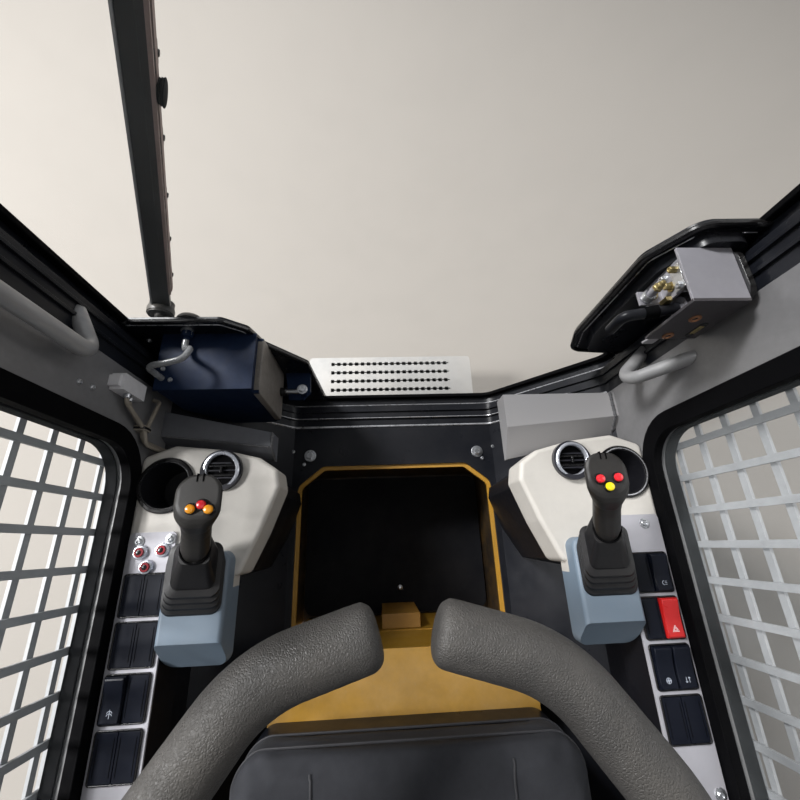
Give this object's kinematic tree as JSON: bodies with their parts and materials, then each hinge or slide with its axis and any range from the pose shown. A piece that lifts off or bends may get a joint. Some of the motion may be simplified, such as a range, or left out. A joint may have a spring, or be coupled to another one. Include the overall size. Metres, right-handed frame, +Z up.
{
  "type": "skid steer loader cab",
  "caption": "Operator's cab of a skid steer loader with a glazed front door, screened side windows, joystick consoles, padded lap bar, seat, footwell and step.",
  "frame": {"origin": "on the underside of the belly plate, in the middle of the width", "axes": "+X to the operator's right, +Y forward through the door, +Z up"},
  "size_m": [0.879, 1.223, 1.628],
  "materials": {
    "chassis_paint": "satin",
    "mat_rubber": "matte",
    "frame_paint": "satin",
    "glass": "gloss",
    "screen_paint": "satin",
    "roof_plastic": "matte",
    "trim_fabric": "matte",
    "console_plastic": "satin",
    "switch_plate": "satin",
    "switch_plastic": "satin",
    "red_plastic": "gloss",
    "boot_rubber": "matte",
    "grip_plastic": "satin",
    "vent_chrome": "gloss",
    "black_plastic": "satin",
    "seat_fabric": "matte",
    "step_metal": "satin",
    "door_paint": "satin",
    "latch_steel": "satin",
    "hose_rubber": "satin",
    "handle_paint": "satin",
    "connector_plastic": "satin",
    "cable_sheath": "matte",
    "wiper_paint": "satin",
    "pad_foam": "matte"
  },
  "bodies": {
    "cab": {"footwell_tub": "chassis_paint", "seat_box": "chassis_paint", "floor_mat": "mat_rubber", "cab_deck": "frame_paint", "front_frame": "frame_paint", "side_frame_left": "frame_paint", "side_frame_right": "frame_paint", "side_glass_left": "glass", "side_glass_right": "glass", "side_screen_left": "screen_paint", "side_screen_right": "screen_paint", "rear_frame": "frame_paint", "rear_window": "glass", "roof": "roof_plastic", "headliner": "trim_fabric", "console_left": "console_plastic", "console_right": "console_plastic", "console_bases": "black_plastic", "door_seal": "hose_rubber", "connector_block": "connector_plastic", "wire_harness": "cable_sheath", "switch_panels": "switch_plate", "rocker_switches": "switch_plastic", "hazard_switch": "red_plastic", "push_buttons": "red_plastic", "joystick_boot_left": "boot_rubber", "joystick_boot_right": "boot_rubber", "joystick_grip_left": "grip_plastic", "joystick_grip_right": "grip_plastic", "air_vents": "vent_chrome", "cup_holder_left": "black_plastic", "cup_holder_right": "black_plastic", "frame_brackets": "frame_paint", "seat_pan": "frame_paint", "seat_cushion": "seat_fabric", "seat_back": "seat_fabric", "grab_handles": "handle_paint", "step_plate": "step_metal", "work_lamps": "black_plastic", "door_hinges": "frame_paint"},
    "door": {"door_frame": "door_paint", "door_glass": "glass", "door_corner_plates": "door_paint", "wiper_motor_housing": "black_plastic", "door_latch": "latch_steel", "door_lever": "frame_paint", "washer_hose": "hose_rubber"},
    "wiper": {"wiper": "wiper_paint"},
    "lap_bar": {"lap_bar": "frame_paint", "lap_pad_left": "pad_foam", "lap_pad_right": "pad_foam"}
  },
  "joints": [
    {"name": "door_hinge", "type": "hinge", "parent": "cab", "child": "door", "pos_m": [-0.44, 0.4845, 0.9], "axis": [0, 0, 1], "range_deg": [0, 100]},
    {"name": "wiper_sweep", "type": "hinge", "parent": "door", "child": "wiper", "pos_m": [-0.359, 0.52, 0.509], "axis": [0, 1, 0], "range_deg": [0, 60]},
    {"name": "lap_bar_lift", "type": "hinge", "parent": "cab", "child": "lap_bar", "pos_m": [0, -0.535, 0.8], "axis": [1, 0, 0], "range_deg": [0, 80]}
  ]
}
